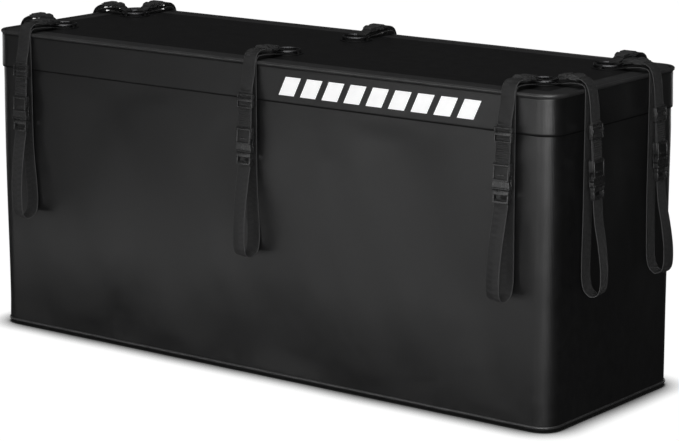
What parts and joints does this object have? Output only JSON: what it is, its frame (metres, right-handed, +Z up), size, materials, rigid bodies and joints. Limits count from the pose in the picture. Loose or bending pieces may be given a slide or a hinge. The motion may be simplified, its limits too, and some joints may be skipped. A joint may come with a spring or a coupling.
{
  "type": "hitch cargo bag",
  "caption": "Soft boxy cargo bag for a hitch rack, with a zipped lid under a storm skirt and buckled loop straps hung from round anchor patches.",
  "frame": {"origin": "centre of the base, on the surface the bag stands on", "axes": "+Z up, +X along the length, the front faces -Y"},
  "size_m": [1.5476, 0.5756, 0.6803],
  "materials": {
    "tarpaulin": "black coated tarpaulin, semi-gloss, fine embossed grain",
    "webbing": "black woven polyester webbing with pale selvedges",
    "plastic": "black moulded nylon, satin",
    "steel": "dark plated steel ring, satin",
    "zip": "black coil zip tape"
  },
  "bodies": {
    "tub": {"bag_body": "tarpaulin", "base_welt": "tarpaulin", "zip_tape_lower": "zip"},
    "lid": {"lid": "tarpaulin", "lid_piping": "tarpaulin", "zip_tape_upper": "zip", "anchor_patch_front_left": "tarpaulin", "anchor_patch_front_mid": "tarpaulin", "anchor_patch_front_right": "tarpaulin", "anchor_patch_back_left": "tarpaulin", "anchor_patch_back_mid": "tarpaulin", "anchor_patch_back_right": "tarpaulin", "anchor_ring_front_left": "steel", "anchor_ring_front_mid": "steel", "anchor_ring_front_right": "steel", "anchor_ring_back_left": "steel", "anchor_ring_back_mid": "steel", "anchor_ring_back_right": "steel"},
    "slider_left": {"zip_slider_left": "steel"},
    "slider_right": {"zip_slider_right": "steel"},
    "strap_front_left": {"webbing_front_left": "webbing", "buckle_socket_front_left": "plastic"},
    "plug_front_left": {"buckle_plug_front_left": "plastic"},
    "glide_front_left": {"tri_glide_front_left": "plastic"},
    "strap_front_mid": {"webbing_front_mid": "webbing", "buckle_socket_front_mid": "plastic"},
    "plug_front_mid": {"buckle_plug_front_mid": "plastic"},
    "glide_front_mid": {"tri_glide_front_mid": "plastic"},
    "strap_front_right": {"webbing_front_right": "webbing", "buckle_socket_front_right": "plastic"},
    "plug_front_right": {"buckle_plug_front_right": "plastic"},
    "glide_front_right": {"tri_glide_front_right": "plastic"},
    "strap_back_left": {"webbing_back_left": "webbing", "buckle_socket_back_left": "plastic"},
    "plug_back_left": {"buckle_plug_back_left": "plastic"},
    "glide_back_left": {"tri_glide_back_left": "plastic"},
    "strap_back_mid": {"webbing_back_mid": "webbing", "buckle_socket_back_mid": "plastic"},
    "plug_back_mid": {"buckle_plug_back_mid": "plastic"},
    "glide_back_mid": {"tri_glide_back_mid": "plastic"},
    "strap_back_right": {"webbing_back_right": "webbing", "buckle_socket_back_right": "plastic"},
    "plug_back_right": {"buckle_plug_back_right": "plastic"},
    "glide_back_right": {"tri_glide_back_right": "plastic"},
    "strap_left_front": {"webbing_left_front": "webbing", "buckle_socket_left_front": "plastic"},
    "plug_left_front": {"buckle_plug_left_front": "plastic"},
    "glide_left_front": {"tri_glide_left_front": "plastic"},
    "strap_left_back": {"webbing_left_back": "webbing", "buckle_socket_left_back": "plastic"},
    "plug_left_back": {"buckle_plug_left_back": "plastic"},
    "glide_left_back": {"tri_glide_left_back": "plastic"},
    "strap_right_front": {"webbing_right_front": "webbing", "buckle_socket_right_front": "plastic"},
    "plug_right_front": {"buckle_plug_right_front": "plastic"},
    "glide_right_front": {"tri_glide_right_front": "plastic"},
    "strap_right_back": {"webbing_right_back": "webbing", "buckle_socket_right_back": "plastic"},
    "plug_right_back": {"buckle_plug_right_back": "plastic"},
    "glide_right_back": {"tri_glide_right_back": "plastic"}
  },
  "joints": [
    {"name": "lid_hinge", "type": "hinge", "parent": "tub", "child": "lid", "pos_m": [0, 0.2335, 0.577], "axis": [-1, 0, 0], "range_deg": [0, 75]},
    {"name": "zip_left", "type": "slide", "parent": "tub", "child": "slider_left", "axis": [-1, 0, 0], "range_m": [0, 0.62]},
    {"name": "zip_right", "type": "slide", "parent": "tub", "child": "slider_right", "axis": [1, 0, 0], "range_m": [0, 0.62]},
    {"name": "hang_front_left", "type": "hinge", "parent": "lid", "child": "strap_front_left", "pos_m": [-0.627, -0.234, 0.577], "axis": [1, 0, 0], "range_deg": [0, 33.75]},
    {"name": "release_front_left", "type": "slide", "parent": "strap_front_left", "child": "plug_front_left", "axis": [0, -0.0558, -0.9984], "range_m": [0, 0.027], "deforming": ["webbing_front_left"]},
    {"name": "adjust_front_left", "type": "slide", "parent": "strap_front_left", "child": "glide_front_left", "axis": [0, -0.0558, -0.9984], "range_m": [0, 0.03]},
    {"name": "hang_front_mid", "type": "hinge", "parent": "lid", "child": "strap_front_mid", "pos_m": [0, -0.234, 0.577], "axis": [1, 0, 0], "range_deg": [0, 33.75]},
    {"name": "release_front_mid", "type": "slide", "parent": "strap_front_mid", "child": "plug_front_mid", "axis": [0, -0.0558, -0.9984], "range_m": [0, 0.027], "deforming": ["webbing_front_mid"]},
    {"name": "adjust_front_mid", "type": "slide", "parent": "strap_front_mid", "child": "glide_front_mid", "axis": [0, -0.0558, -0.9984], "range_m": [0, 0.03]},
    {"name": "hang_front_right", "type": "hinge", "parent": "lid", "child": "strap_front_right", "pos_m": [0.627, -0.234, 0.577], "axis": [1, 0, 0], "range_deg": [0, 33.75]},
    {"name": "release_front_right", "type": "slide", "parent": "strap_front_right", "child": "plug_front_right", "axis": [0, -0.0558, -0.9984], "range_m": [0, 0.027], "deforming": ["webbing_front_right"]},
    {"name": "adjust_front_right", "type": "slide", "parent": "strap_front_right", "child": "glide_front_right", "axis": [0, -0.0558, -0.9984], "range_m": [0, 0.03]},
    {"name": "hang_back_left", "type": "hinge", "parent": "lid", "child": "strap_back_left", "pos_m": [-0.627, 0.2375, 0.655], "axis": [1, 0, 0], "range_deg": [0, 75]},
    {"name": "release_back_left", "type": "slide", "parent": "strap_back_left", "child": "plug_back_left", "axis": [0, 0.0558, -0.9984], "range_m": [0, 0.027], "deforming": ["webbing_back_left"]},
    {"name": "adjust_back_left", "type": "slide", "parent": "strap_back_left", "child": "glide_back_left", "axis": [0, 0.0558, -0.9984], "range_m": [0, 0.03]},
    {"name": "hang_back_mid", "type": "hinge", "parent": "lid", "child": "strap_back_mid", "pos_m": [0, 0.2375, 0.655], "axis": [1, 0, 0], "range_deg": [0, 75]},
    {"name": "release_back_mid", "type": "slide", "parent": "strap_back_mid", "child": "plug_back_mid", "axis": [0, 0.0558, -0.9984], "range_m": [0, 0.027], "deforming": ["webbing_back_mid"]},
    {"name": "adjust_back_mid", "type": "slide", "parent": "strap_back_mid", "child": "glide_back_mid", "axis": [0, 0.0558, -0.9984], "range_m": [0, 0.03]},
    {"name": "hang_back_right", "type": "hinge", "parent": "lid", "child": "strap_back_right", "pos_m": [0.627, 0.2375, 0.655], "axis": [1, 0, 0], "range_deg": [0, 75]},
    {"name": "release_back_right", "type": "slide", "parent": "strap_back_right", "child": "plug_back_right", "axis": [0, 0.0558, -0.9984], "range_m": [0, 0.027], "deforming": ["webbing_back_right"]},
    {"name": "adjust_back_right", "type": "slide", "parent": "strap_back_right", "child": "glide_back_right", "axis": [0, 0.0558, -0.9984], "range_m": [0, 0.03]},
    {"name": "hang_left_front", "type": "hinge", "parent": "lid", "child": "strap_left_front", "pos_m": [-0.731, -0.118, 0.655], "axis": [1, 0, 0], "range_deg": [0, 75]},
    {"name": "release_left_front", "type": "slide", "parent": "strap_left_front", "child": "plug_left_front", "axis": [-0.0558, 0, -0.9984], "range_m": [0, 0.027], "deforming": ["webbing_left_front"]},
    {"name": "adjust_left_front", "type": "slide", "parent": "strap_left_front", "child": "glide_left_front", "axis": [-0.0558, 0, -0.9984], "range_m": [0, 0.03]},
    {"name": "hang_left_back", "type": "hinge", "parent": "lid", "child": "strap_left_back", "pos_m": [-0.731, 0.118, 0.655], "axis": [1, 0, 0], "range_deg": [0, 75]},
    {"name": "release_left_back", "type": "slide", "parent": "strap_left_back", "child": "plug_left_back", "axis": [-0.0558, 0, -0.9984], "range_m": [0, 0.027], "deforming": ["webbing_left_back"]},
    {"name": "adjust_left_back", "type": "slide", "parent": "strap_left_back", "child": "glide_left_back", "axis": [-0.0558, 0, -0.9984], "range_m": [0, 0.03]},
    {"name": "hang_right_front", "type": "hinge", "parent": "lid", "child": "strap_right_front", "pos_m": [0.731, -0.118, 0.655], "axis": [1, 0, 0], "range_deg": [0, 75]},
    {"name": "release_right_front", "type": "slide", "parent": "strap_right_front", "child": "plug_right_front", "axis": [0.0558, 0, -0.9984], "range_m": [0, 0.027], "deforming": ["webbing_right_front"]},
    {"name": "adjust_right_front", "type": "slide", "parent": "strap_right_front", "child": "glide_right_front", "axis": [0.0558, 0, -0.9984], "range_m": [0, 0.03]},
    {"name": "hang_right_back", "type": "hinge", "parent": "lid", "child": "strap_right_back", "pos_m": [0.731, 0.118, 0.655], "axis": [1, 0, 0], "range_deg": [0, 75]},
    {"name": "release_right_back", "type": "slide", "parent": "strap_right_back", "child": "plug_right_back", "axis": [0.0558, 0, -0.9984], "range_m": [0, 0.027], "deforming": ["webbing_right_back"]},
    {"name": "adjust_right_back", "type": "slide", "parent": "strap_right_back", "child": "glide_right_back", "axis": [0.0558, 0, -0.9984], "range_m": [0, 0.03]}
  ],
  "couplings": [
    {"joint": "hang_front_left", "follows": "lid_hinge", "ratio": 0.45},
    {"joint": "hang_front_mid", "follows": "lid_hinge", "ratio": 0.45},
    {"joint": "hang_front_right", "follows": "lid_hinge", "ratio": 0.45},
    {"joint": "hang_back_left", "follows": "lid_hinge", "ratio": 1},
    {"joint": "hang_back_mid", "follows": "lid_hinge", "ratio": 1},
    {"joint": "hang_back_right", "follows": "lid_hinge", "ratio": 1},
    {"joint": "hang_left_front", "follows": "lid_hinge", "ratio": 1},
    {"joint": "hang_left_back", "follows": "lid_hinge", "ratio": 1},
    {"joint": "hang_right_front", "follows": "lid_hinge", "ratio": 1},
    {"joint": "hang_right_back", "follows": "lid_hinge", "ratio": 1}
  ]
}
